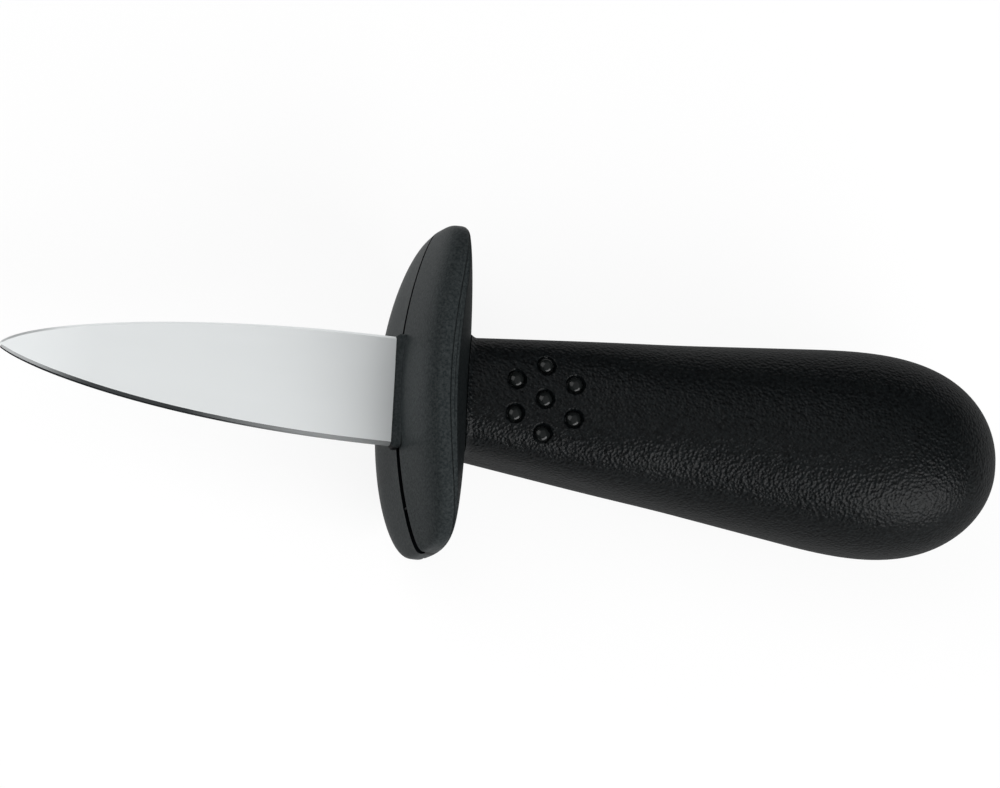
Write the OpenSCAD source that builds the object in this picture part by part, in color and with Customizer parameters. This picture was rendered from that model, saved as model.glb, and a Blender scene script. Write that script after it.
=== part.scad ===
// Oyster knife with a short leaf-shaped blade, a broad hand guard and a moulded grip.
// All sizes are millimetres.
// X runs along the knife from the point to the butt, Y runs across the blade's width and Z across its flat.
// Inside the modules X starts at the front of the hand guard, Y at its middle and Z in the blade's plane.

/* [Blade] */
// Length of the blade in front of the hand guard
blade_len = 67.8; // [55:0.2:80]
// Width of the blade at its heel
blade_w = 18.2; // [15:0.1:21]
// Thickness of the blade
blade_t = 2.2; // [1.6:0.1:2.8]
// Thickness of the blade at the point
point_t = 1.0; // [0.6:0.1:1.6]
// Length over which the blade thins towards the point
thinning_len = 16; // [8:1:24]
// Drop of the blade's middle line below the middle of the hand guard
blade_drop = 0.6; // [0:0.1:1.5]
// Height of the point above the blade's middle line
point_rise = 0.5; // [0:0.1:2]
// Height of the blunt nose at the point
nose_h = 0.7; // [0.4:0.1:1.2]
// Width of the bevel along both edges
bevel_w = 0.45; // [0.2:0.05:0.8]
// Thickness left at the blunt edges
edge_t = 1.1; // [0.6:0.1:1.5]

/* [Tang] */
// Step from each flat of the blade down to the tang
tang_step = 0.1; // [0.05:0.05:0.2]
// Distance that the tang reaches behind the front of the hand guard
tang_len = 62; // [48:1:70]
// Width of the tang in the hand guard
tang_w = 10; // [8:0.5:10.5]
// Width of the tang at its end
tang_end_w = 7.5; // [6:0.5:9]
// Diameter of the holes in the tang
tang_hole_d = 4; // [3:0.2:4.6]
// Distance from the rear hole to the end of the tang
hole_inset = 10; // [7:0.5:12]
// Distance between the two holes that hold the grip
hole_pitch = 16; // [10:0.5:18]

/* [Hand guard] */
// Height of the hand guard
guard_h = 54; // [46:0.5:62]
// Depth of the hand guard across the blade's plane
guard_d = 37; // [33:0.5:41]
// Thickness of the hand guard, front to back, in the blade's plane
guard_t = 11.2; // [9.8:0.1:12.5]
// Distance from the front plane back to the rear edge of the rim, at mid height
rim_back = 4.3; // [3.6:0.1:5.4]
// Radius of the swept front face, seen from the side
front_r = 88; // [74:1:120]
// Radius of the rim's rear edge, seen from the side
rim_r = 89; // [78:1:130]
// Radius of the swept back, seen from the side
back_r = 320; // [240:10:500]
// Rounding of the rim's rear edge
rim_round = 0.8; // [0.4:0.1:1.2]
// Slant of each half of the domed front, from the parting line to the rim
front_draft = 0.4; // [0:0.1:1]
// Width of the parting groove above the blade
groove_top_w = 0.9; // [0.5:0.1:1.2]
// Width of the parting groove below the blade
groove_bottom_w = 1.9; // [1.2:0.1:2.3]
// Depth of the parting groove
groove_depth = 1.3; // [0.7:0.1:1.6]
// Distance that the collar round the blade's heel stands in front of the hand guard
collar_reach = 0.85; // [0.5:0.05:1.2]
// Distance that the collar stands out all round the blade's heel
collar_wall = 0.4; // [0.3:0.05:0.6]
// Height of the boss behind the hand guard
boss_h = 15; // [14:0.5:15.5]
// Depth of the boss across the blade's plane
boss_d = 11; // [9:0.5:12]
// Distance that the boss reaches into the grip
boss_reach = 6; // [4:0.5:8]
// Depth that the boss is rooted in the hand guard
boss_root = 3; // [2:0.5:4]
// Diameter of the pegs that locate the two halves
peg_d = 3; // [2.4:0.1:3.4]
// Depth of the pegs in the far half
peg_reach = 3.5; // [2.5:0.5:4]
// Room left under the end of each peg
peg_room = 0.5; // [0.3:0.1:0.8]
// Height of the outer pegs above and below the middle
peg_y = 19; // [15:0.5:20]

/* [Handle] */
// Distance from the front of the hand guard to the butt
butt_x = 102.8; // [92:0.2:115]
// Distance from the front of the hand guard to where the butt begins to round
round_x = 67.1; // [60:0.5:74]
// Height of the grip at the hand guard
neck_h = 19.2; // [18.8:0.2:24]
// Depth of the grip at the hand guard
neck_d = 20; // [18:0.2:24]
// Height of the grip where the butt begins to round
bulb_h = 31.9; // [27:0.2:37]
// Depth of the grip where the butt begins to round
bulb_d = 30; // [25:0.2:34]
// Height of the grip's middle line at the hand guard, from the middle of the hand guard
neck_y = -0.5; // [-1.5:0.1:0.5]
// Droop of the grip's middle line per millimetre
droop = 0.0324; // [0:0.001:0.05]
// Radius of the flare where the grip meets the hand guard
flare_r = 1; // [0.6:0.1:1.6]
// Depth of the thumb recess round the studs
thumb_dip = 0.5; // [0:0.1:0.8]
// Length of the thumb recess behind the hand guard
thumb_len = 30; // [24:1:34]

/* [Grip studs] */
// Distance of the middle stud behind the front of the hand guard
studs_x = 22.4; // [21:0.1:26]
// Height of the middle stud from the middle of the hand guard
studs_y = -1.3; // [-2.5:0.1:0]
// Distance of the six outer studs from the middle one
studs_r = 5.7; // [5:0.1:6.2]
// Diameter of the stud's head
stud_d = 2.3; // [1.8:0.1:2.6]
// Diameter of the pocket that each head stands in
pocket_d = 3.2; // [2.9:0.1:3.6]
// Depth of the pocket below the grip's surface at its middle
pocket_depth = 0.8; // [0.5:0.1:1]
// Height of the head above the pocket's floor
head_h = 0.95; // [0.6:0.05:1.2]
// Diameter of the stud's stem
stem_d = 1.4; // [1:0.1:1.6]
// Length of the stud's stem
stem_len = 2.4; // [1.6:0.1:3]

/* [Fits] */
// Gap between pieces that touch
fit_gap = 0.05; // [0.03:0.01:0.1]
// Gap between the hand guard's back and the grip
seat_gap = 0.15; // [0.12:0.01:0.2]

/* [Smoothness] */
// Number of sides round the grip
grip_sides = 60; // [40:4:72]
// Number of rows up the hand guard
guard_rows = 44; // [32:2:56]
// Number of stations along the blade
blade_stations = 56; // [30:2:70]
// Number of rings along the grip's side
side_rings = 14; // [10:1:20]
// Number of rings round the butt
butt_rings = 16; // [12:1:22]

/* [Hidden] */
$fn = 48;
steel = [0.86, 0.87, 0.87];
guard_black = [0.17, 0.18, 0.18];
grip_black = [0.11, 0.12, 0.12];
gloss_black = [0.06, 0.06, 0.07];

half_h = guard_h / 2;
half_d = guard_d / 2;
blade_y = -blade_drop;
point_y = blade_y + point_rise;
tang_t = blade_t - 2 * tang_step;
grip_hole_x = [tang_len - hole_inset - hole_pitch, tang_len - hole_inset];
cut_margin = 1;
collar_root = 2;
mid_x = (butt_x - blade_len - fit_gap) / 2;
boss_x = guard_t + boss_reach;
peg_x = guard_t / 2;
nose_back = nose_h / 4;

// Rise of the grip's middle line towards the butt
butt_lift = 0.00075;
lift_x = round_x + 2;
tang_end_y = grip_y(tang_len);
heel_x = -collar_reach - fit_gap;

// Where the grip's section turns from a rounded box to an oval, and where its front stops
// following the guard's back
section_from = 20;
section_run = 30;
follow_len = 12;

// Exponents of the rounded outlines
guard_end_exp = 4.8;
guard_width_exp = 3.5;
guard_dome_exp = 4.6;
guard_back_exp = 2;
neck_exp = 3.2;
bulb_exp = 2.3;
butt_exp = 2.85;
butt_root = 1.86;

// Where the guard's ends close, as a part of the way from its front to its back
end_share = 0.36;

// Most that a rounding or the groove takes of the guard where its ends thin out
end_limit = 0.25;

// How far behind the point each edge reaches its full width, as a part of the blade's length, and
// the two exponents of its curve
top_run = 0.89;
top_curve = [1.8, 0.6];
bottom_run = 0.95;
bottom_curve = [2.1, 0.74];

module placed() {
    translate([-mid_x, 0, half_d])
        children();
}

function clamp01(v) = max(0, min(1, v));
function smooth(v) = clamp01(v) * clamp01(v) * (3 - 2 * clamp01(v));
function sgn_pow(v, p) = sign(v) * pow(abs(v), p);

// Side faces of a closed body made of rings of n points, and a fan to one end point
function ring_quads(rings, n) = [
    for (i = [0 : rings - 2], k = [0 : n - 1])
        each [
            [i * n + k, (i + 1) * n + k, (i + 1) * n + (k + 1) % n],
            [i * n + k, (i + 1) * n + (k + 1) % n, i * n + (k + 1) % n]
        ]
];
function fan(first, n, tip, flip) = [
    for (k = [0 : n - 1])
        flip ? [tip, first + (k + 1) % n, first + k] : [tip, first + k, first + (k + 1) % n]
];

// Blade

function leaf_rise(part, curve) = pow(1 - pow(1 - clamp01(part), curve[0]), curve[1]);
function top_edge(s) =
    point_y + (blade_w / 2 - point_rise) * leaf_rise(s / (blade_len * top_run), top_curve);
function bottom_edge(s) =
    point_y - (blade_w / 2 + point_rise) * leaf_rise(s / (blade_len * bottom_run), bottom_curve);
function thickness(s) = point_t + (blade_t - point_t) * sin(90 * clamp01(s / thinning_len));

function blade_ring(s) = let(
    top = max(top_edge(s), point_y + nose_h / 2),
    bottom = min(bottom_edge(s), point_y - nose_h / 2),
    bevel = min(bevel_w, 0.3 * (top - bottom)),
    face_z = thickness(s) / 2,
    edge_z = min(edge_t, 0.6 * thickness(s)) / 2
) [
    for (p = [
        [top, edge_z], [top - bevel, face_z], [bottom + bevel, face_z], [bottom, edge_z],
        [bottom, -edge_z], [bottom + bevel, -face_z], [top - bevel, -face_z], [top, -edge_z]
    ])
        [s - blade_len - fit_gap, p[0], p[1]]
];

// The leaf ends square at the collar on the guard's front
module blade_leaf() {
    leaf_len = blade_len + fit_gap + heel_x - nose_back;
    ring_points = [
        for (i = [0 : blade_stations], p = blade_ring(nose_back + leaf_len * pow(i / blade_stations, 1.5)))
            p
    ];
    tip = len(ring_points);
    polyhedron(
        concat(ring_points, [[-blade_len - fit_gap, point_y, 0]]),
        concat(
            ring_quads(blade_stations + 1, 8),
            fan(0, 8, tip, false),
            [[for (k = [7 : -1 : 0]) blade_stations * 8 + k]]
        )
    );
}

function tang_y(x) = blade_y + (tang_end_y - blade_y) * x / tang_len;
function tang_half_w(x) = (tang_w + (tang_end_w - tang_w) * x / tang_len) / 2;

// Outline of the tang from one place to its end, with some growth all round
module tang_outline(from_x, grow) {
    end_x = tang_len + grow;
    polygon([
        [from_x, tang_y(from_x) - tang_half_w(from_x) - grow],
        [end_x, tang_y(end_x) - tang_half_w(end_x) - grow],
        [end_x, tang_y(end_x) + tang_half_w(end_x) + grow],
        [from_x, tang_y(from_x) + tang_half_w(from_x) + grow]
    ]);
}

// Slot that takes the tang with a fit all round
module tang_slot() {
    linear_extrude(height = tang_t + 2 * fit_gap, center = true)
        tang_outline(heel_x - cut_margin, fit_gap);
}

module tang_holes(d, long) {
    for (x = concat([peg_x], grip_hole_x))
        translate([x, tang_y(x), 0])
            cylinder(h = long, d = d, center = true);
}

module blade() {
    color(steel)
        placed() {
            difference() {
                union() {
                    blade_leaf();
                    linear_extrude(height = tang_t, center = true)
                        tang_outline(heel_x - cut_margin, 0);
                }
                tang_holes(tang_hole_d, blade_t * 2);
            }
        }
}

// Hand guard

function end_close(y) = pow(1 - pow(min(1, abs(y) / half_h), guard_end_exp), 1 / guard_end_exp);
function half_width(y) = half_d * pow(1 - pow(min(1, abs(y) / half_h), guard_width_exp), 1 / guard_width_exp);
function sweep(y, r) = y * y / (2 * r);
function middle_x(y) = sweep(y, front_r) * (1 - end_share) + (guard_t - sweep(y, back_r)) * end_share;
function closed_x(x, y) = middle_x(y) + (x - middle_x(y)) * end_close(y);
function front_x(y) = closed_x(sweep(y, front_r), y);
function back_x(y) = closed_x(guard_t - sweep(y, back_r), y);
function rim_x(y) = max(front_x(y), min(back_x(y), closed_x(rim_back + sweep(y, rim_r), y)));
function guard_back(y, z) =
    back_x(y) - (back_x(y) - rim_x(y)) * pow(min(1, abs(z) / half_width(y)), guard_back_exp);

// Half section of the guard at one height: parting groove, domed front, rear edge and sloping back
function guard_row(y) = let(
    w = half_width(y),
    f = front_x(y),
    r = rim_x(y),
    b = back_x(y),
    draft = min(front_draft, end_limit * (r - f)),
    deep = min(groove_depth, end_limit * (b - f)),
    side = (groove_bottom_w + (groove_top_w - groove_bottom_w) * smooth((y / blade_w + 1) / 2)) / 2,
    inner = min(side, end_limit * w),
    edge = min(rim_round * end_close(y), end_limit * (r - f)),
    fall = r - edge - f - draft
) concat(
    [[f + deep, y, 0], [f + deep, y, inner], [f + draft * inner / w, y, inner]],
    [
        for (a = [7.5 : 7.5 : 90])
            let(u = pow(sin(a), 2 / guard_dome_exp), z = inner + (w - inner) * u)
                [f + draft * z / w + fall * (1 - pow(cos(a), 2 / guard_dome_exp)), y, z]
    ],
    [for (a = [30 : 30 : 60]) [r - edge + edge * sin(a), y, w - edge + edge * cos(a)]],
    [for (k = [0.93, 0.82, 0.69, 0.56, 0.42, 0.28, 0.14, 0])
        [b - (b - r) * pow(k, guard_back_exp), y, w * k]]
);
row_points = len(guard_row(0));

module guard_shell() {
    heights = [for (i = [1 : guard_rows - 1]) -half_h * cos(180 * i / guard_rows)];
    rows = [for (y = heights, p = guard_row(y)) p];
    bottom = len(rows);
    polyhedron(
        concat(rows, [[middle_x(half_h), -half_h, 0], [middle_x(half_h), half_h, 0]]),
        concat(
            ring_quads(guard_rows - 1, row_points),
            fan(0, row_points, bottom, false),
            fan((guard_rows - 2) * row_points, row_points, bottom + 1, true)
        )
    );
}

// Round-ended bar along X, centred on the tang
module boss_bar(from_x, to_x, grow) {
    end_y = (boss_h - boss_d) / 2;
    translate([from_x, tang_y(guard_t), 0])
        rotate([0, 90, 0]) {
            for (y = [-end_y, end_y])
                translate([0, y, 0])
                    cylinder(h = to_x - from_x, d = boss_d + 2 * grow);
            translate([-boss_d / 2 - grow, -end_y, 0])
                cube([boss_d + 2 * grow, 2 * end_y, to_x - from_x]);
        }
}

// Collar on the guard's front, against which the blade's heel stands
module collar() {
    translate([-collar_reach, blade_y, 0])
        rotate([90, 0, 90])
            linear_extrude(height = collar_reach + collar_root)
                offset(r = collar_wall)
                    square([blade_w, blade_t], center = true);
}

// Block over the guard, its collar and its boss, from one height above the blade's plane up
module side_block(from_z, high) {
    translate([heel_x - cut_margin, -half_h - cut_margin, from_z])
        cube([boss_x - heel_x + 2 * cut_margin, guard_h + 2 * cut_margin, high]);
}

// One half of the guard with its half of the boss, cut out for the tang
module guard_half() {
    difference() {
        union() {
            guard_shell();
            intersection() {
                union() {
                    boss_bar(guard_t - boss_root, boss_x, 0);
                    collar();
                }
                side_block(0, half_d);
            }
        }
        tang_slot();
    }
}

// Two pegs near the guard's ends, and one through the tang
peg_spots = [[middle_x(peg_y), peg_y], [middle_x(peg_y), -peg_y], [peg_x, tang_y(peg_x)]];

module guard_near_half() {
    color(guard_black)
        placed() {
            guard_half();
            for (spot = peg_spots)
                translate([spot[0], spot[1], -peg_reach])
                    cylinder(h = peg_reach + blade_t, d = peg_d);
        }
}

module guard_far_half() {
    color(guard_black)
        placed()
            difference() {
                mirror([0, 0, 1])
                    guard_half();
                side_block(-fit_gap, cut_margin);
                for (spot = peg_spots)
                    translate([spot[0], spot[1], -peg_reach - peg_room])
                        cylinder(h = peg_reach + peg_room + cut_margin, d = peg_d + 2 * fit_gap);
            }
}

// Handle

function grip_y(x) = neck_y - droop * (x - guard_t) + butt_lift * pow(max(0, x - lift_x), 2);
function butt_close(x) = let(t = clamp01((x - round_x) / (butt_x - round_x)))
    pow(1 - pow(t, butt_exp), 1 / butt_root);
function taper(neck, bulb, x) = neck + (bulb - neck) * (x - guard_t) / (round_x - guard_t);
function grip_half_h(x) = taper(neck_h, bulb_h, x) / 2 * butt_close(x);
function grip_half_d(x) = taper(neck_d, bulb_d, x) / 2 * butt_close(x) - thumb(x);
function thumb(x) = thumb_dip * pow(sin(180 * clamp01((x - guard_t) / thumb_len)), 2);
function grip_exp(x) = neck_exp + (bulb_exp - neck_exp) * smooth((x - section_from) / section_run);
// Depth of the grip's side above the blade's plane at one place
function grip_z(x, y) =
    grip_half_d(x) * pow(1 - pow(min(1, abs(y - grip_y(x)) / grip_half_h(x)), grip_exp(x)), 1 / grip_exp(x));

function flare(s) = flare_r / 2 * pow(1 - clamp01(s / flare_r), 2);

// One point of a ring round the grip; near the guard the ring follows the guard's sloping back at
// the seat's gap
function grip_point(x, a, part) = let(
    grow = flare(x - guard_t),
    y = grip_y(x) + part * (grip_half_h(x) + grow) * sgn_pow(cos(a), 2 / grip_exp(x)),
    z = part * (grip_half_d(x) + grow) * sgn_pow(sin(a), 2 / grip_exp(x)),
    follow = 1 - clamp01((x - guard_t) / follow_len)
) [x + (seat_gap + guard_back(y, z) - guard_t) * follow, y, z];

function grip_ring(x, part = 1) = [
    for (k = [0 : grip_sides - 1]) grip_point(x, 360 * k / grip_sides, part)
];

module grip_body() {
    seat = [for (part = [0.2, 0.4, 0.6, 0.8]) [guard_t, part]];
    neck = [for (s = [0, 0.25, 0.5, 1]) [guard_t + s * flare_r, 1]];
    side = [
        for (i = [1 : side_rings]) [guard_t + flare_r + (round_x - guard_t - flare_r) * i / side_rings, 1]
    ];
    butt = [
        for (i = [1 : butt_rings - 1]) [round_x + (butt_x - round_x) * (1 - pow(1 - i / butt_rings, 2)), 1]
    ];
    stations = concat(seat, neck, side, butt);
    rings = [for (st = stations, p = grip_ring(st[0], st[1])) p];
    middle = len(rings);
    polyhedron(
        concat(rings, [grip_point(guard_t, 0, 0), [butt_x, grip_y(butt_x), 0]]),
        concat(
            ring_quads(len(stations), grip_sides),
            fan(0, grip_sides, middle, false),
            fan((len(stations) - 1) * grip_sides, grip_sides, middle + 1, true)
        )
    );
}

// Places of the studs, as steps along and across the knife
stud_step = studs_r * cos(30);
middle_spot = [0, 0];
top_spot = [0, studs_r];
bottom_spot = [0, -studs_r];
front_upper_spot = [-stud_step, studs_r / 2];
front_lower_spot = [-stud_step, -studs_r / 2];
rear_upper_spot = [stud_step, studs_r / 2];
rear_lower_spot = [stud_step, -studs_r / 2];
stud_spots = [
    middle_spot, top_spot, bottom_spot,
    front_upper_spot, front_lower_spot, rear_upper_spot, rear_lower_spot
];

// Puts its child with the pocket's floor as base, on the near side (1) or the far side (-1)
module at_pocket(spot, side) {
    x = studs_x + spot[0];
    y = studs_y + spot[1];
    mirror([0, 0, side > 0 ? 0 : 1])
        translate([x, y, grip_z(x, y) - pocket_depth])
            children();
}

module stud_pockets() {
    for (side = [1, -1], spot = stud_spots)
        at_pocket(spot, side) {
            cylinder(h = pocket_depth + 2 * cut_margin, d = pocket_d);
            translate([0, 0, -stem_len - fit_gap])
                cylinder(h = stem_len + cut_margin, d = stem_d + 2 * fit_gap);
        }
}

module handle() {
    color(grip_black)
        placed()
            difference() {
                grip_body();
                boss_bar(0, boss_x + fit_gap, fit_gap);
                difference() {
                    tang_slot();
                    tang_holes(tang_hole_d - 2 * fit_gap, blade_t * 2);
                }
                stud_pockets();
            }
}

// Grip studs

module stud() {
    dome_h = head_h * 0.55;
    rotate_extrude()
        polygon(concat(
            [[0, -stem_len], [stem_d / 2, -stem_len], [stem_d / 2, fit_gap], [stud_d / 2, fit_gap]],
            [for (a = [0 : 10 : 90]) [stud_d / 2 * cos(a), head_h - dome_h + dome_h * sin(a)]]
        ));
}

module stud_at(spot, side) {
    color(gloss_black)
        placed()
            at_pocket(spot, side)
                stud();
}

module grip_stud_near_middle() stud_at(middle_spot, 1);
module grip_stud_near_top() stud_at(top_spot, 1);
module grip_stud_near_bottom() stud_at(bottom_spot, 1);
module grip_stud_near_front_upper() stud_at(front_upper_spot, 1);
module grip_stud_near_front_lower() stud_at(front_lower_spot, 1);
module grip_stud_near_rear_upper() stud_at(rear_upper_spot, 1);
module grip_stud_near_rear_lower() stud_at(rear_lower_spot, 1);
module grip_stud_far_middle() stud_at(middle_spot, -1);
module grip_stud_far_top() stud_at(top_spot, -1);
module grip_stud_far_bottom() stud_at(bottom_spot, -1);
module grip_stud_far_front_upper() stud_at(front_upper_spot, -1);
module grip_stud_far_front_lower() stud_at(front_lower_spot, -1);
module grip_stud_far_rear_upper() stud_at(rear_upper_spot, -1);
module grip_stud_far_rear_lower() stud_at(rear_lower_spot, -1);

blade();
guard_near_half();
guard_far_half();
handle();
grip_stud_near_middle();
grip_stud_near_top();
grip_stud_near_bottom();
grip_stud_near_front_upper();
grip_stud_near_front_lower();
grip_stud_near_rear_upper();
grip_stud_near_rear_lower();
grip_stud_far_middle();
grip_stud_far_top();
grip_stud_far_bottom();
grip_stud_far_front_upper();
grip_stud_far_front_lower();
grip_stud_far_rear_upper();
grip_stud_far_rear_lower();
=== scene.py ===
"""Oyster knife: satin steel blade, black hand guard in two halves, grained black grip and gloss studs."""

import math

import bmesh
import bpy
import numpy as np
from mathutils import Matrix, Vector


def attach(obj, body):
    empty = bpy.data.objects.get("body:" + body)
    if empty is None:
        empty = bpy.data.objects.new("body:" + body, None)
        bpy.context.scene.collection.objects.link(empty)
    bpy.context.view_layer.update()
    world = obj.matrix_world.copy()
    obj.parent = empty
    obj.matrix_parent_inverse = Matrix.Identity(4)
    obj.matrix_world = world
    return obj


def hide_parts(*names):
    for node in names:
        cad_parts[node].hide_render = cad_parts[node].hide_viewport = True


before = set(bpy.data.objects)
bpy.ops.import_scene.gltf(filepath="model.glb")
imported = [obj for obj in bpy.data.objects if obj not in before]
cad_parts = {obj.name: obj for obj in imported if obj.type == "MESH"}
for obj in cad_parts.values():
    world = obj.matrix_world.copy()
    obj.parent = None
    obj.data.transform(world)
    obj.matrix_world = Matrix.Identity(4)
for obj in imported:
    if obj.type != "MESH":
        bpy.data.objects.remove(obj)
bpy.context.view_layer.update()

MM = 0.001

# Sizes of the CAD part, in millimetres. X starts at the guard's front, Z at the blade's plane.
FIT_GAP = 0.05
SEAT_GAP = 0.15

BLADE_LEN, BLADE_W, BLADE_T = 67.8, 18.2, 2.2
POINT_T, THINNING_LEN, POINT_RISE = 1.0, 16.0, 0.5
BLADE_Y = -0.6
POINT_Y = BLADE_Y + POINT_RISE
NOSE_H, BEVEL_W, EDGE_T = 0.7, 0.45, 1.1
BEVEL_LIMIT, EDGE_LIMIT = 0.3, 0.6
TOP_RUN, TOP_CURVE = 0.89, (1.8, 0.6)
BOTTOM_RUN, BOTTOM_CURVE = 0.95, (2.1, 0.74)

TANG_LEN, TANG_W, TANG_END_W, TANG_STEP = 62.0, 10.0, 7.5, 0.1
TANG_T = BLADE_T - 2 * TANG_STEP

GUARD_H, GUARD_D, GUARD_T = 54.0, 37.0, 11.2
RIM_BACK, FRONT_R, RIM_R, BACK_R = 4.3, 88.0, 89.0, 320.0
RIM_ROUND, FRONT_DRAFT = 0.8, 0.4
GROOVE_TOP_W, GROOVE_BOTTOM_W = 0.9, 1.9
COLLAR_REACH, COLLAR_WALL = 0.85, 0.4
END_EXP, WIDTH_EXP, DOME_EXP, BACK_EXP = 4.8, 3.5, 4.6, 2
END_SHARE, END_LIMIT = 0.36, 0.25

BUTT_X, ROUND_X = 102.8, 67.1
LIFT_X = ROUND_X + 2
NECK_H, NECK_D, BULB_H, BULB_D = 19.2, 20.0, 31.9, 30.0
NECK_Y, DROOP, BUTT_LIFT = -0.5, 0.0324, 0.00075
FLARE_R, THUMB_DIP, THUMB_LEN, FOLLOW_LEN = 1.0, 0.5, 30.0, 12.0
NECK_EXP, BULB_EXP, SECTION_FROM, SECTION_RUN = 3.2, 2.3, 20.0, 30.0
BUTT_EXP, BUTT_ROOT = 2.85, 1.86

STUDS_X, STUDS_Y, STUDS_R, STUD_D = 22.4, -1.3, 5.7, 2.3
POCKET_D, POCKET_DEPTH, HEAD_H, DOME_SHARE = 3.2, 0.8, 0.95, 0.55
POCKET_INSIDE, POCKET_OUTSIDE = 0.2, 0.1

MID_X = (BUTT_X - BLADE_LEN - FIT_GAP) / 2
HEEL_X = -COLLAR_REACH - FIT_GAP
HALF_H, HALF_D = GUARD_H / 2, GUARD_D / 2

# What only the visual model has: a deeper parting groove, crossed by a short web of plastic below the blade
SEAM_LIMIT, SEAM_DEPTH = 0.6, 2.4
BRIDGE_Y, BRIDGE_HALF, BRIDGE_DEEP = -19.9, 0.3, 0.15
# A fine groove round the guard behind its rim, as distance in from the rim and depth
RIM_GROOVE = (
    (0.8, 0.0), (0.86, 0.35), (1.0, 0.5), (2.0, 0.42), (2.06, 0.35), (2.14, 0.04), (2.25, 0.0), (2.6, 0.0)
)
# The groove shrinks with the guard where half the guard's depth is less than this
RIM_GROOVE_FULL_W = 9.0
# A collar that leans out from its lip to the guard's front
COLLAR_RISE, COLLAR_LIP, COLLAR_SPREAD, COLLAR_EXP = 1.25, 0.05, 1.35, 1.4

# The tang starts this far inside the blade's heel
TANG_TUCK = 1.0

# How finely the meshes are divided
BLADE_STATIONS, BLADE_FLAT_POINTS = 241, 11
GUARD_ROWS, DOME_POINTS, EDGE_POINTS, BACK_POINTS = 180, 31, 6, 20
COLLAR_LEVELS, COLLAR_TURNS = 9, 8
FLARE_RINGS, NECK_RINGS, STUD_RINGS, SIDE_RINGS, BUTT_RINGS = 9, 18, 118, 40, 44
FRONT_PARTS = (0.2, 0.4, 0.6, 0.8, 0.9, 0.97)
STUD_ANGLES, OUTER_ANGLES = 120, 26
STUD_SIDES, STUD_ARC_POINTS = 48, 16
# How strongly rings crowd together at the point and at the grip's flare
CROWDING = 1.5
# How far the roundings of the guard's rim and the studs' domes turn, in degrees
RIM_TURN, DOME_TURN = 75, 86


# Shapes, as in the CAD part


def clamp01(v):
    return np.clip(v, 0.0, 1.0)


def smooth(v):
    v = clamp01(v)
    return v * v * (3 - 2 * v)


def sgn_pow(v, p):
    return np.sign(v) * np.abs(v) ** p


def leaf_rise(part, curve):
    return (1 - (1 - clamp01(part)) ** curve[0]) ** curve[1]


def top_edge(s):
    return POINT_Y + (BLADE_W / 2 - POINT_RISE) * leaf_rise(s / (BLADE_LEN * TOP_RUN), TOP_CURVE)


def bottom_edge(s):
    return POINT_Y - (BLADE_W / 2 + POINT_RISE) * leaf_rise(s / (BLADE_LEN * BOTTOM_RUN), BOTTOM_CURVE)


def blade_thickness(s):
    return POINT_T + (BLADE_T - POINT_T) * np.sin(math.pi / 2 * clamp01(s / THINNING_LEN))


def end_close(y):
    return (1 - np.minimum(1, np.abs(y) / HALF_H) ** END_EXP) ** (1 / END_EXP)


def half_width(y):
    return HALF_D * (1 - np.minimum(1, np.abs(y) / HALF_H) ** WIDTH_EXP) ** (1 / WIDTH_EXP)


def sweep(y, r):
    return y * y / (2 * r)


def middle_x(y):
    return sweep(y, FRONT_R) * (1 - END_SHARE) + (GUARD_T - sweep(y, BACK_R)) * END_SHARE


def closed_x(x, y):
    return middle_x(y) + (x - middle_x(y)) * end_close(y)


def front_x(y):
    return closed_x(sweep(y, FRONT_R), y)


def back_x(y):
    return closed_x(GUARD_T - sweep(y, BACK_R), y)


def rim_x(y):
    inner = np.minimum(back_x(y), closed_x(RIM_BACK + sweep(y, RIM_R), y))
    return np.maximum(front_x(y), inner)


def guard_back(y, z):
    share = np.minimum(1, np.abs(z) / np.maximum(half_width(y), 1e-9))
    return back_x(y) - (back_x(y) - rim_x(y)) * share**BACK_EXP


def grip_y(x):
    return NECK_Y - DROOP * (x - GUARD_T) + BUTT_LIFT * np.maximum(0, x - LIFT_X) ** 2


def butt_close(x):
    t = clamp01((x - ROUND_X) / (BUTT_X - ROUND_X))
    return (1 - t**BUTT_EXP) ** (1 / BUTT_ROOT)


def taper(neck, bulb, x):
    return neck + (bulb - neck) * (x - GUARD_T) / (ROUND_X - GUARD_T)


def grip_half_h(x):
    return taper(NECK_H, BULB_H, x) / 2 * butt_close(x)


def thumb(x):
    return THUMB_DIP * np.sin(math.pi * clamp01((x - GUARD_T) / THUMB_LEN)) ** 2


def grip_half_d(x):
    return taper(NECK_D, BULB_D, x) / 2 * butt_close(x) - thumb(x)


def grip_exp(x):
    return NECK_EXP + (BULB_EXP - NECK_EXP) * smooth((x - SECTION_FROM) / SECTION_RUN)


def grip_z(x, y):
    share = np.minimum(1, np.abs(y - grip_y(x)) / grip_half_h(x))
    return grip_half_d(x) * (1 - share ** grip_exp(x)) ** (1 / grip_exp(x))


def grip_ring(x, angles, part=1.0):
    """Points of one ring round the grip; near the guard it follows the guard's sloping back."""
    grow = FLARE_R / 2 * (1 - clamp01((x - GUARD_T) / FLARE_R)) ** 2
    power = 2 / grip_exp(x)
    y = grip_y(x) + part * (grip_half_h(x) + grow) * sgn_pow(np.cos(angles), power)
    z = part * (grip_half_d(x) + grow) * sgn_pow(np.sin(angles), power)
    follow = 1 - clamp01((x - GUARD_T) / FOLLOW_LEN)
    return np.stack([x + (SEAT_GAP + guard_back(y, z) - GUARD_T) * follow, y, z], axis=-1)


# Mesh helpers


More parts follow.
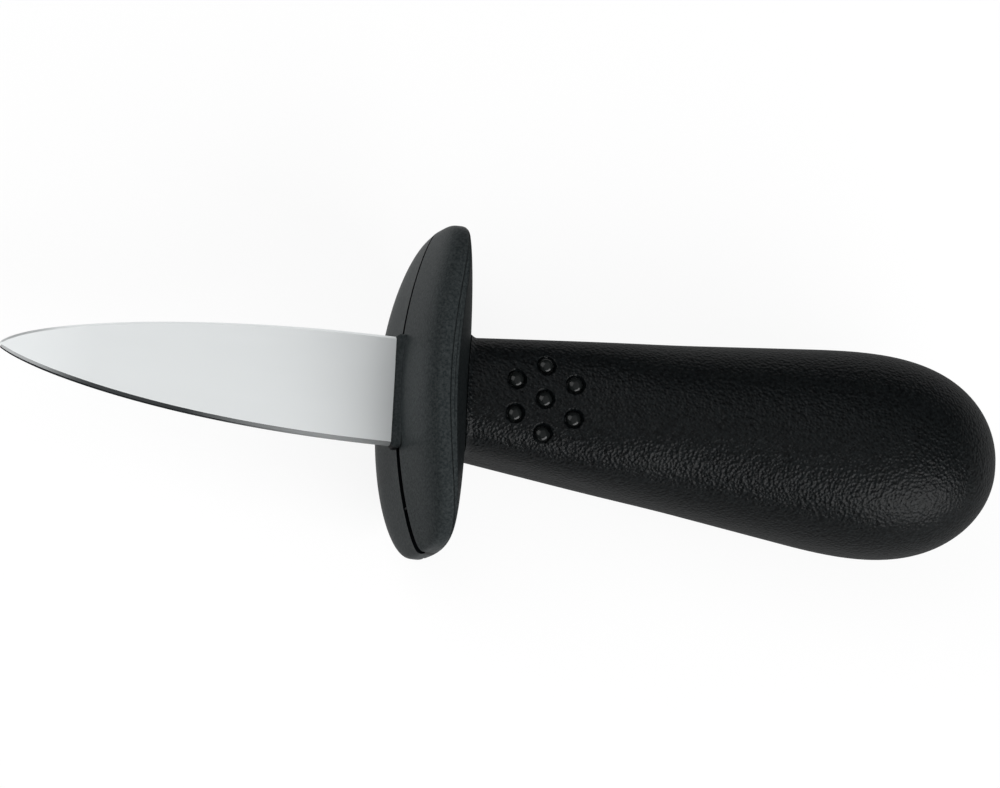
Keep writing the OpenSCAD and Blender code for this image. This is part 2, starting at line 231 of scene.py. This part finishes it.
def make_object(name, points, faces, material, sharp_deg):
    """A smooth-shaded object from points in the part's own millimetres, sharp where faces meet steeply."""
    points = (np.asarray(points, float) + [-MID_X, 0, HALF_D]) * MM
    mesh = bpy.data.meshes.new(name)
    mesh.from_pydata(points.tolist(), [], faces)
    welded = bmesh.new()
    welded.from_mesh(mesh)
    bmesh.ops.remove_doubles(welded, verts=welded.verts, dist=1e-8)
    bmesh.ops.recalc_face_normals(welded, faces=welded.faces)
    welded.to_mesh(mesh)
    welded.free()
    mesh.shade_smooth()
    mesh.set_sharp_from_angle(angle=math.radians(sharp_deg))
    mesh.materials.append(material)
    obj = bpy.data.objects.new(name, mesh)
    bpy.context.scene.collection.objects.link(obj)
    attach(obj, "root")
    return obj


def ring_faces(rings, n):
    """Quads between neighbouring closed rings of n points each."""
    faces = []
    for i in range(rings - 1):
        for k in range(n):
            a, b = i * n + k, i * n + (k + 1) % n
            faces.append((a, a + n, b + n, b))
    return faces


def fan(first, n, tip, flip):
    """Triangles between a ring that starts at first and a tip point."""
    pairs = [(first + k, first + (k + 1) % n) for k in range(n)]
    return [(tip, b, a) if flip else (tip, a, b) for a, b in pairs]


def join_shells(*shells):
    """Points and faces of several shells as one list each."""
    points, faces = [], []
    for shell_points, shell_faces in shells:
        faces += [tuple(len(points) + k for k in face) for face in shell_faces]
        points += list(shell_points)
    return points, faces


# Materials

# Darkest and lightest tone of each surface
STEEL = (0.82, 0.845, 0.85), (0.86, 0.885, 0.89)
GUARD_FRONT = (0.0108, 0.014, 0.015), (0.034, 0.0385, 0.0395)
# The guard's faces that turn back towards the grip get these darker tones as painted shade
GUARD_BACK_SHADE = (0.003, 0.004, 0.0043), (0.009, 0.0105, 0.011)
GRIP = (0.0004, 0.0007, 0.0009), (0.0042, 0.0054, 0.0059)
STUD = (0.004, 0.005, 0.005), (0.007, 0.008, 0.008)
# Painted shade: near black for the blade's downward-facing bevel and edge, and for the guard's parting groove
PAINTED_EDGE_SHADE, PAINTED_GROOVE_SHADE = (0.014, 0.016, 0.017), (0.002, 0.0025, 0.003)

STEEL_METALLIC = 0.85
# How far the painted shade of the parting groove reaches past its walls, in millimetres
GROOVE_SHADE_SPILL = 0.02


def new_material(name, base, roughness, specular, metallic=0.0):
    """A material, its node tree and its shader."""
    material = bpy.data.materials.new(name)
    material.use_nodes = True
    shader = material.node_tree.nodes["Principled BSDF"]
    shader.inputs["Base Color"].default_value = (*base, 1)
    shader.inputs["Roughness"].default_value = roughness
    shader.inputs["Metallic"].default_value = metallic
    shader.inputs["Specular IOR Level"].default_value = specular
    return material, material.node_tree, shader


def add_node(tree, kind, **inputs):
    """A node with its inputs set; an underscore in a key stands for a space."""
    node = tree.nodes.new(kind)
    for key, value in inputs.items():
        node.inputs[key.replace("_", " ")].default_value = value
    return node


def object_coords(tree, scale):
    """Object coordinates in millimetres, stretched by scale."""
    coords = tree.nodes.new("ShaderNodeTexCoord")
    mapping = tree.nodes.new("ShaderNodeMapping")
    mapping.inputs["Scale"].default_value = [s / MM for s in scale]
    tree.links.new(coords.outputs["Object"], mapping.inputs["Vector"])
    return mapping.outputs["Vector"]


def surface_normal(tree, axis):
    """One component of the piece's own surface normal, before any bump."""
    coords = tree.nodes.new("ShaderNodeTexCoord")
    split = tree.nodes.new("ShaderNodeSeparateXYZ")
    tree.links.new(coords.outputs["Normal"], split.inputs[0])
    return split.outputs[axis]


def noise(tree, vector, scale, detail=2.0, roughness=0.5):
    node = add_node(tree, "ShaderNodeTexNoise", Scale=scale, Detail=detail, Roughness=roughness)
    tree.links.new(vector, node.inputs["Vector"])
    return node.outputs["Fac"]


def math_node(tree, operation, *values):
    """Output of a Math node; each value is a number or another node's output."""
    node = tree.nodes.new("ShaderNodeMath")
    node.operation = operation
    for socket, value in zip(node.inputs, values):
        if isinstance(value, float):
            socket.default_value = value
        else:
            tree.links.new(value, socket)
    return node.outputs[0]


def map_range(tree, value, low, high, from_low=0.0, from_high=1.0, shape="LINEAR"):
    """The value, taken from one range to another."""
    node = tree.nodes.new("ShaderNodeMapRange")
    node.interpolation_type = shape
    for key, number in (("From Min", from_low), ("From Max", from_high), ("To Min", low), ("To Max", high)):
        node.inputs[key].default_value = number
    tree.links.new(value, node.inputs["Value"])
    return node.outputs["Result"]


def mix_colours(tree, factor, dark, light, low=0.0, high=1.0):
    """Colour between dark, where the factor is low, and light, where it is high."""
    ramp = tree.nodes.new("ShaderNodeValToRGB")
    for element, position, colour in zip(ramp.color_ramp.elements, (low, high), (dark, light)):
        element.position = position
        element.color = (*colour, 1)
    tree.links.new(factor, ramp.inputs["Fac"])
    return ramp.outputs["Color"]


def blend(tree, factor, first, second):
    """Colour that goes from first to second with the factor; a plain colour may stand for second."""
    node = tree.nodes.new("ShaderNodeMix")
    node.data_type = "RGBA"
    colour_inputs = [socket for socket in node.inputs if socket.type == "RGBA"]
    tree.links.new(factor, node.inputs[0])
    tree.links.new(first, colour_inputs[0])
    if isinstance(second, tuple):
        colour_inputs[1].default_value = (*second, 1)
    else:
        tree.links.new(second, colour_inputs[1])
    return next(socket for socket in node.outputs if socket.type == "RGBA")


def add_bump(tree, shader, heights):
    """Bumps in a chain; heights holds (height value, distance in millimetres, strength)."""
    normal = None
    for value, distance, strength in heights:
        bump = add_node(tree, "ShaderNodeBump", Strength=strength, Distance=distance * MM)
        tree.links.new(value, bump.inputs["Height"])
        if normal is not None:
            tree.links.new(normal, bump.inputs["Normal"])
        normal = bump.outputs["Normal"]
    for socket in ("Normal", "Coat Normal"):
        tree.links.new(normal, shader.inputs[socket])


def steel_material():
    """Satin stainless steel with a fine grain along the blade; its downward-facing bevel and edge near the
    point are painted near black as shade and lose their metal.
    """
    material, tree, shader = new_material("satin_steel", STEEL[0], 0.42, 0.0, STEEL_METALLIC)
    grain = noise(tree, object_coords(tree, (0.05, 4.0, 4.0)), 1.0, detail=4.0)
    cloud = noise(tree, object_coords(tree, (0.05, 0.12, 0.12)), 1.0, detail=2.0)
    face = mix_colours(tree, cloud, *STEEL)
    # Painted shade: faces that turn downward and towards the point are painted near black and made
    # non-metallic
    downward = map_range(tree, surface_normal(tree, "Y"), 0.0, 1.0, -0.3, -0.78)
    towards_point = map_range(tree, surface_normal(tree, "X"), 0.72, 1.0, -0.02, -0.09)
    edge = math_node(tree, "MULTIPLY", downward, towards_point)
    tree.links.new(blend(tree, edge, face, PAINTED_EDGE_SHADE), shader.inputs["Base Color"])
    tree.links.new(map_range(tree, edge, STEEL_METALLIC, 0.0), shader.inputs["Metallic"])
    tree.links.new(map_range(tree, grain, 0.39, 0.46), shader.inputs["Roughness"])
    add_bump(tree, shader, [(grain, 0.004, 0.3)])
    return material


def groove_shade_mask(tree):
    """One in the parting groove between the guard's halves, where shade is painted, and zero beside it."""
    split = tree.nodes.new("ShaderNodeSeparateXYZ")
    tree.links.new(tree.nodes.new("ShaderNodeTexCoord").outputs["Object"], split.inputs[0])
    low, high = ((w / 2 + GROOVE_SHADE_SPILL) * MM for w in (GROOVE_BOTTOM_W, GROOVE_TOP_W))
    half_w = map_range(tree, split.outputs["Y"], low, high, -BLADE_W * MM, BLADE_W * MM, "SMOOTHSTEP")
    off_plane = math_node(tree, "ABSOLUTE", math_node(tree, "SUBTRACT", split.outputs["Z"], HALF_D * MM))
    return math_node(tree, "LESS_THAN", off_plane, half_w)


def guard_material():
    """Dark grey plastic with a fine grain; painted shade makes it blacker in the parting groove and on the
    faces that turn back towards the grip.
    """
    material, tree, shader = new_material("guard_plastic", GUARD_FRONT[1], 0.45, 0.01)
    vector = object_coords(tree, (1, 1, 1))
    fine = noise(tree, vector, 3.2, detail=3.0, roughness=0.6)
    cloud = noise(tree, vector, 2.2, detail=4.0, roughness=0.7)
    front = mix_colours(tree, cloud, *GUARD_FRONT, 0.32, 0.68)
    back = mix_colours(tree, cloud, *GUARD_BACK_SHADE, 0.36, 0.64)
    # Painted shade: faces that turn back towards the grip take the darker back tones; they are also made
    # duller
    rearward = map_range(tree, surface_normal(tree, "X"), 0.0, 1.0, 0.45, 0.7)
    # Painted shade: the parting groove on the guard's front is painted near black
    front = blend(tree, groove_shade_mask(tree), front, PAINTED_GROOVE_SHADE)
    tree.links.new(blend(tree, rearward, front, back), shader.inputs["Base Color"])
    dull = math_node(tree, "MULTIPLY", rearward, 0.2)
    roughness = math_node(tree, "ADD", map_range(tree, fine, 0.28, 0.44), dull)
    tree.links.new(roughness, shader.inputs["Roughness"])
    add_bump(tree, shader, [(fine, 0.035, 0.6)])
    return material


def grip_material():
    """Black plastic with a leathery grain and a thin, dull sheen."""
    material, tree, shader = new_material("grip_plastic", GRIP[1], 0.38, 0.0)
    shader.inputs["Coat Weight"].default_value = 0.21
    shader.inputs["Coat Roughness"].default_value = 0.35
    vector = object_coords(tree, (1, 1, 1))
    cells = add_node(tree, "ShaderNodeTexVoronoi", Scale=1.9, Randomness=1.0)
    cells.feature = "SMOOTH_F1"
    cells.inputs["Smoothness"].default_value = 0.5
    tree.links.new(vector, cells.inputs["Vector"])
    pebble = cells.outputs["Distance"]
    wrinkle = noise(tree, vector, 1.5, detail=3.0, roughness=0.6)
    speckle = noise(tree, vector, 1.7, detail=3.0, roughness=0.7)
    tree.links.new(mix_colours(tree, speckle, *GRIP, 0.38, 0.62), shader.inputs["Base Color"])
    tree.links.new(map_range(tree, speckle, 0.46, 0.28, 0.35, 0.65), shader.inputs["Roughness"])
    add_bump(tree, shader, [(pebble, 0.18, 0.75), (wrinkle, 0.16, 0.6)])
    return material


def stud_material():
    """Polished black plastic with a faint haze."""
    material, tree, shader = new_material("stud_plastic", STUD[0], 0.15, 0.2)
    haze = noise(tree, object_coords(tree, (1, 1, 1)), 2.5, detail=2.0)
    tree.links.new(mix_colours(tree, haze, *STUD), shader.inputs["Base Color"])
    tree.links.new(map_range(tree, haze, 0.12, 0.2), shader.inputs["Roughness"])
    add_bump(tree, shader, [(haze, 0.02, 0.5)])
    return material


# Pieces


def blade_stations():
    """Distances behind the point, close together near it."""
    leaf_len = BLADE_LEN + FIT_GAP + HEEL_X - NOSE_H / 4
    return NOSE_H / 4 + leaf_len * (np.arange(BLADE_STATIONS) / (BLADE_STATIONS - 1)) ** CROWDING


def blade_section(s):
    """Section of the blade at one station: two flats, bevels and blunt edges."""
    top = max(float(top_edge(s)), POINT_Y + NOSE_H / 2)
    bottom = min(float(bottom_edge(s)), POINT_Y - NOSE_H / 2)
    bevel = min(BEVEL_W, BEVEL_LIMIT * (top - bottom))
    thick = float(blade_thickness(s))
    face_z, edge_z = thick / 2, min(EDGE_T, EDGE_LIMIT * thick) / 2
    flat = [(float(y), face_z) for y in np.linspace(top - bevel, bottom + bevel, BLADE_FLAT_POINTS)]
    near = [(top, edge_z), *flat, (bottom, edge_z)]
    return near + [(y, -z) for y, z in reversed(near)]


def tang_y(x):
    return BLADE_Y + (float(grip_y(TANG_LEN)) - BLADE_Y) * x / TANG_LEN


def tang_half_w(x):
    return (TANG_W + (TANG_END_W - TANG_W) * x / TANG_LEN) / 2


def make_leaf():
    """Points and faces of the blade in front of the guard."""
    points = []
    for s in blade_stations():
        points += [(s - BLADE_LEN - FIT_GAP, y, z) for y, z in blade_section(s)]
    n = len(blade_section(BLADE_LEN))
    tip, last = len(points), len(points) - n
    points.append((-BLADE_LEN - FIT_GAP, POINT_Y, 0))
    faces = ring_faces(BLADE_STATIONS, n) + fan(0, n, tip, True)
    faces.append(tuple(last + k for k in range(n)))
    return points, faces


def make_tang():
    """Points and faces of the tang, from inside the heel to its end in the grip."""
    points = []
    for x in (HEEL_X - TANG_TUCK, TANG_LEN):
        for side_y, z in ((1, 1), (-1, 1), (-1, -1), (1, -1)):
            points.append((x, tang_y(x) + side_y * tang_half_w(x), z * TANG_T / 2))
    return points, [*ring_faces(2, 4), (3, 2, 1, 0), (4, 5, 6, 7)]


def make_blade(material):
    points, faces = join_shells(make_leaf(), make_tang())
    return make_object("blade_visual", points, faces, material, sharp_deg=20.0)


def groove_half_w(y):
    """Half the width of the parting groove, wider below the blade."""
    low = 1 - float(smooth((y / BLADE_W + 1) / 2))
    return (GROOVE_TOP_W + (GROOVE_BOTTOM_W - GROOVE_TOP_W) * low) / 2


def guard_section(y):
    """Half section of the guard at one height: groove, domed front, rear edge, back."""
    w, f, r, b = (float(v(y)) for v in (half_width, front_x, rim_x, back_x))
    draft = min(FRONT_DRAFT, END_LIMIT * (r - f))
    deep = min(SEAM_DEPTH, SEAM_LIMIT * (b - f))
    if abs(y - BRIDGE_Y) < BRIDGE_HALF:
        deep = BRIDGE_DEEP
    inner = min(groove_half_w(y), SEAM_LIMIT * w)
    edge = min(RIM_ROUND * float(end_close(y)), END_LIMIT * (r - f))
    fall = r - edge - f - draft
    points = [(f + deep, 0.0), (f + deep, inner), (f + draft * inner / w, inner)]
    for a in np.radians(np.linspace(0, 90, DOME_POINTS)[1:]):
        z = inner + (w - inner) * math.sin(a) ** (2 / DOME_EXP)
        rise = 1 - max(0.0, math.cos(a)) ** (2 / DOME_EXP)
        points.append((f + draft * z / w + fall * rise, z))
    for a in np.radians(np.linspace(0, RIM_TURN, EDGE_POINTS)[1:]):
        points.append((r - edge + edge * math.sin(a), w - edge + edge * math.cos(a)))
    shrink = min(1.0, w / RIM_GROOVE_FULL_W)
    for inwards, sunk in RIM_GROOVE:
        share = 1 - inwards * shrink / w
        points.append((b - (b - r) * share**BACK_EXP - sunk * shrink, w * share))
    for share in np.linspace(share, 0, BACK_POINTS)[1:]:
        points.append((b - (b - r) * share**BACK_EXP, w * share))
    return points


def collar_loop(grow):
    """Half outline of the collar, from its lower end round the blade's side to its upper end."""
    half_w, half_t, deep = BLADE_W / 2, BLADE_T / 2, COLLAR_WALL + grow
    wide = min(deep, COLLAR_WALL)
    turns = np.radians(np.linspace(0, 90, COLLAR_TURNS))
    lower = [(BLADE_Y - half_w - wide * math.cos(a), half_t + deep * math.sin(a)) for a in turns]
    upper = [(BLADE_Y + half_w + wide * math.sin(a), half_t + deep * math.cos(a)) for a in turns]
    return [(lower[0][0], 0.0), *lower, *upper, (upper[-1][0], 0.0)]


def half_collar():
    """Half of the collar round the blade's heel, which leans out from a thin lip to the guard's front."""
    points = []
    for u in np.linspace(0, 1, COLLAR_LEVELS).tolist():
        loop = collar_loop(COLLAR_LIP - COLLAR_WALL + COLLAR_SPREAD * u**COLLAR_EXP)
        points += [(COLLAR_RISE * u - COLLAR_REACH, y, z) for y, z in loop]
    n, last = len(loop), COLLAR_LEVELS - 1
    starts = [i * n + k for i in range(last) for k in range(n - 1)]
    faces = [(a, a + n, a + n + 1, a + 1) for a in starts]
    lower_ends = tuple(i * n for i in reversed(range(last + 1)))
    upper_ends = tuple(i * n + n - 1 for i in range(last + 1))
    faces += [tuple(reversed(range(n))), tuple(last * n + k for k in range(n)), lower_ends + upper_ends]
    return points, faces


def guard_levels():
    """Heights of the guard's sections, each with how far its inner face keeps off the parting plane.

    It keeps off it in the slot that the tang passes through.
    """
    heights = -HALF_H * np.cos(math.pi * np.arange(1, GUARD_ROWS) / GUARD_ROWS)
    slot_low, slot_high = (tang_y(0) + sign * (TANG_W / 2 + FIT_GAP) for sign in (-1, 1))
    levels = [(y, 0.0) for y in heights if not slot_low <= y <= slot_high]
    levels += [(y, TANG_T / 2 + FIT_GAP) for y in heights if slot_low < y < slot_high]
    levels += [(y, z) for y in (slot_low, slot_high) for z in (0.0, TANG_T / 2 + FIT_GAP)]
    middle = (slot_low + slot_high) / 2
    return sorted(levels, key=lambda level: (level[0], level[1] if level[0] < middle else -level[1]))


def half_plate():
    """Points and faces of the near half of the guard without its collar."""
    points, levels = [], guard_levels()
    for y, inner_z in levels:
        points += [(x, y, max(z, inner_z)) for x, z in guard_section(y)]
    n, bottom = len(guard_section(0.0)), len(points)
    end_x = float(middle_x(HALF_H))
    points += [(end_x, -HALF_H, 0), (end_x, HALF_H, 0)]
    faces = ring_faces(len(levels), n) + fan(0, n, bottom, False) + fan(bottom - n, n, bottom + 1, True)
    return points, faces


def make_guard_half(name, side, material):
    points, faces = join_shells(half_plate(), half_collar())
    points = [(x, y, side * z) for x, y, z in points]
    return make_object(name, points, faces, material, sharp_deg=30.0)


def grip_stations():
    """Stations along the grip, close together round the studs and at the butt."""
    flare = GUARD_T + FLARE_R * np.linspace(0, 1, FLARE_RINGS) ** CROWDING
    fine_from, fine_to = STUDS_X - STUDS_R - POCKET_D, STUDS_X + STUDS_R + POCKET_D
    neck = np.linspace(flare[-1], fine_from, NECK_RINGS)[1:]
    fine = np.linspace(fine_from, fine_to, STUD_RINGS)[1:]
    side = np.linspace(fine_to, ROUND_X, SIDE_RINGS)[1:]
    butt = ROUND_X + (BUTT_X - ROUND_X) * (1 - (1 - np.arange(1, BUTT_RINGS) / BUTT_RINGS) ** 2)
    return np.concatenate([flare, neck, fine, side, butt])


def grip_angles():
    """Angles round the grip, close together where the studs are."""
    x = STUDS_X
    low, high = (STUDS_Y + sign * (STUDS_R + POCKET_D) for sign in (-1, 1))
    heights = np.linspace(high, low, STUD_ANGLES)
    share = (heights - grip_y(x)) / grip_half_h(x)
    fine = np.arccos(sgn_pow(share, grip_exp(x) / 2))
    before = np.linspace(0, fine[0], OUTER_ANGLES)[:-1]
    after = np.linspace(fine[-1], math.pi, OUTER_ANGLES)[1:]
    half = np.concatenate([before, fine, after])
    return np.concatenate([half, 2 * math.pi - half[-2:0:-1]])


def stud_spots():
    """Places of the studs round the middle one, by name."""
    step = STUDS_R * math.cos(math.radians(30))
    half = STUDS_R / 2
    return {
        "middle": (0, 0),
        "top": (0, STUDS_R),
        "bottom": (0, -STUDS_R),
        "front_upper": (-step, half),
        "front_lower": (-step, -half),
        "rear_upper": (step, half),
        "rear_lower": (step, -half),
    }


def pocket_floor(spot):
    """Place and height of a pocket's floor, measured from the blade's plane."""
    x, y = STUDS_X + spot[0], STUDS_Y + spot[1]
    return x, y, float(grip_z(x, y)) - POCKET_DEPTH


def sink_pockets(points):
    """Presses the pockets of the studs into both sides of the grip, with walls that round over at the top."""
    for spot in stud_spots().values():
        x, y, floor = pocket_floor(spot)
        distance = np.hypot(points[:, 0] - x, points[:, 1] - y)
        wall = smooth((distance - (POCKET_D / 2 - POCKET_INSIDE)) / (POCKET_INSIDE + POCKET_OUTSIDE))
        inside = (distance < POCKET_D / 2 + POCKET_OUTSIDE) & (np.abs(points[:, 2]) > floor)
        sunk = floor + (np.abs(points[:, 2]) - floor) * wall
        points[inside, 2] = (np.sign(points[:, 2]) * sunk)[inside]
    return points


def make_grip(material):
    angles = grip_angles()
    rings = [grip_ring(GUARD_T, angles, part) for part in FRONT_PARTS]
    rings += [grip_ring(x, angles) for x in grip_stations()]
    points = sink_pockets(np.concatenate(rings))
    centre = grip_ring(GUARD_T, np.zeros(1), 0.0)
    butt = np.array([[BUTT_X, float(grip_y(BUTT_X)), 0.0]])
    n, tip = len(angles), len(points)
    points = np.concatenate([points, centre, butt])
    faces = ring_faces(len(rings), n) + fan(0, n, tip, False) + fan(tip - n, n, tip + 1, True)
    return make_object("handle_visual", points, faces, material, sharp_deg=50.0)


def stud_profile():
    """Radius and height of the stud's head, from its foot to the top of the dome."""
    radius = STUD_D / 2
    dome = HEAD_H * DOME_SHARE
    foot = [(radius, FIT_GAP), (radius, (HEAD_H - dome + FIT_GAP) / 2)]
    arc = np.radians(np.linspace(0, DOME_TURN, STUD_ARC_POINTS))
    return foot + [(radius * math.cos(a), HEAD_H - dome + dome * math.sin(a)) for a in arc]


def make_stud(name, spot, side, material):
    x, y, floor = pocket_floor(spot)
    points, profile = [], stud_profile()
    for radius, height in profile:
        for a in 2 * math.pi * np.arange(STUD_SIDES) / STUD_SIDES:
            points.append((x + radius * math.cos(a), y + radius * math.sin(a), side * (floor + height)))
    tip = len(points)
    points += [(x, y, side * (floor + HEAD_H)), (x, y, side * (floor + FIT_GAP))]
    faces = ring_faces(len(profile), STUD_SIDES)
    faces += fan(tip - STUD_SIDES, STUD_SIDES, tip, True) + fan(0, STUD_SIDES, tip + 1, False)
    return make_object(name, points, faces, material, sharp_deg=60.0)


def build_knife():
    steel, guard, grip, gloss = steel_material(), guard_material(), grip_material(), stud_material()
    made = {
        "blade": (make_blade(steel), "blade_steel"),
        "guard_near_half": (make_guard_half("guard_near_visual", 1, guard), "guard_plastic"),
        "guard_far_half": (make_guard_half("guard_far_visual", -1, guard), "guard_plastic"),
        "handle": (make_grip(grip), "grip_plastic"),
    }
    for label, side in (("near", 1), ("far", -1)):
        for spot_name, spot in stud_spots().items():
            node = f"grip_stud_{label}_{spot_name}"
            made[node] = (make_stud(f"stud_{label}_{spot_name}_visual", spot, side, gloss), "stud_plastic")
    for node, (piece, slot) in made.items():
        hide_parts(node)


# Studio

# The floor: its reach to each side, its gap below the knife, its own colour, and how much of it shows as
# plain white to the camera and in metal and glass
FLOOR_REACH, FLOOR_GAP = 30.0, 0.2 * MM
FLOOR_COLOUR, FLOOR_WHITE = 0.85, 0.9
WORLD_GREY = 0.1


def make_floor():
    """Pale floor that shows almost white to the camera and keeps a soft shadow."""
    corners = [(x * FLOOR_REACH, y * FLOOR_REACH, 0) for x, y in ((-1, -1), (1, -1), (1, 1), (-1, 1))]
    mesh = bpy.data.meshes.new("floor")
    mesh.from_pydata(corners, [], [(0, 1, 2, 3)])
    floor = bpy.data.objects.new("floor", mesh)
    floor.location.z = -FLOOR_GAP
    bpy.context.scene.collection.objects.link(floor)
    material = bpy.data.materials.new("floor_white")
    material.use_nodes = True
    tree = material.node_tree
    tree.nodes.clear()
    diffuse = add_node(tree, "ShaderNodeBsdfDiffuse", Color=(*[FLOOR_COLOUR] * 3, 1))
    white = add_node(tree, "ShaderNodeEmission", Color=(1, 1, 1, 1), Strength=1.0)
    path = tree.nodes.new("ShaderNodeLightPath")
    seen = math_node(tree, "MAXIMUM", path.outputs["Is Camera Ray"], path.outputs["Is Glossy Ray"])
    seen = math_node(tree, "MAXIMUM", seen, path.outputs["Is Transmission Ray"])
    share = math_node(tree, "MULTIPLY", seen, FLOOR_WHITE)
    mixed = tree.nodes.new("ShaderNodeMixShader")
    output = tree.nodes.new("ShaderNodeOutputMaterial")
    tree.links.new(share, mixed.inputs["Fac"])
    tree.links.new(diffuse.outputs[0], mixed.inputs[1])
    tree.links.new(white.outputs[0], mixed.inputs[2])
    tree.links.new(mixed.outputs[0], output.inputs["Surface"])
    mesh.materials.append(material)


def make_world():
    """Dim grey surroundings above the floor."""
    world = bpy.data.worlds.new("studio")
    bpy.context.scene.world = world
    world.use_nodes = True
    world.node_tree.nodes["Background"].inputs["Color"].default_value = (*[WORLD_GREY] * 3, 1)


def add_softbox(name, direction, distance, size, radiance):
    """Rectangular lamp that faces the knife; radiance is the brightness of its face, where 1 is white."""
    lamp = bpy.data.lights.new(name, "AREA")
    lamp.shape = "RECTANGLE"
    lamp.size, lamp.size_y = size
    lamp.energy = radiance * math.pi * size[0] * size[1]
    obj = bpy.data.objects.new(name, lamp)
    towards = Vector(direction).normalized()
    obj.location = towards * distance + Vector((0, 0, HALF_D * MM))
    obj.rotation_mode = "QUATERNION"
    obj.rotation_quaternion = towards.to_track_quat("Z", "Y")
    obj.visible_camera = False
    bpy.context.scene.collection.objects.link(obj)


def add_lights():
    """A faint card overhead, a key and a fill from the point's side, and a key from below the butt."""
    add_softbox("overhead_card", (0.25, 0.1, 0.96), 1.2, (1.3, 1.3), 0.5)
    add_softbox("upper_left_key", (-0.5, 0.28, 0.82), 1.3, (1.0, 1.0), 2.5)
    add_softbox("left_fill", (-0.88, 0.42, 0.3), 1.4, (0.7, 0.7), 4.0)
    add_softbox("lower_key", (0.58, -0.62, 0.53), 1.3, (1.3, 0.8), 7.2)


# The camera's turn round the knife, its roll and its framing, fitted to the photograph's outline
TURN, TILT, ROLL = (math.radians(v) for v in (15.38, 12.0, 3.13))
CAMERA_DISTANCE = 3.0
FRAME_WIDTH = 164.62 * MM
LOOK_RIGHT, LOOK_UP = 0.09 * MM, 0.97 * MM
SENSOR = 36.0


def add_camera():
    right = Vector((math.cos(TURN), 0, math.sin(TURN)))
    up = Vector((-math.sin(TURN) * math.sin(TILT), math.cos(TILT), math.cos(TURN) * math.sin(TILT)))
    right, up = (
        right * math.cos(ROLL) + up * math.sin(ROLL),
        up * math.cos(ROLL) - right * math.sin(ROLL),
    )
    back = right.cross(up)
    data = bpy.data.cameras.new("camera")
    data.sensor_width = SENSOR
    data.lens = SENSOR * CAMERA_DISTANCE / FRAME_WIDTH
    data.clip_start, data.clip_end = 0.05, 100.0
    camera = bpy.data.objects.new("camera", data)
    place = Vector((0, 0, HALF_D * MM)) + right * LOOK_RIGHT + up * LOOK_UP + back * CAMERA_DISTANCE
    turn = Matrix((right, up, back)).transposed().to_4x4()
    camera.matrix_world = Matrix.Translation(place) @ turn
    bpy.context.scene.collection.objects.link(camera)
    bpy.context.scene.camera = camera


bpy.context.scene.view_settings.view_transform = "Standard"
add_camera()
build_knife()
make_floor()
make_world()
add_lights()
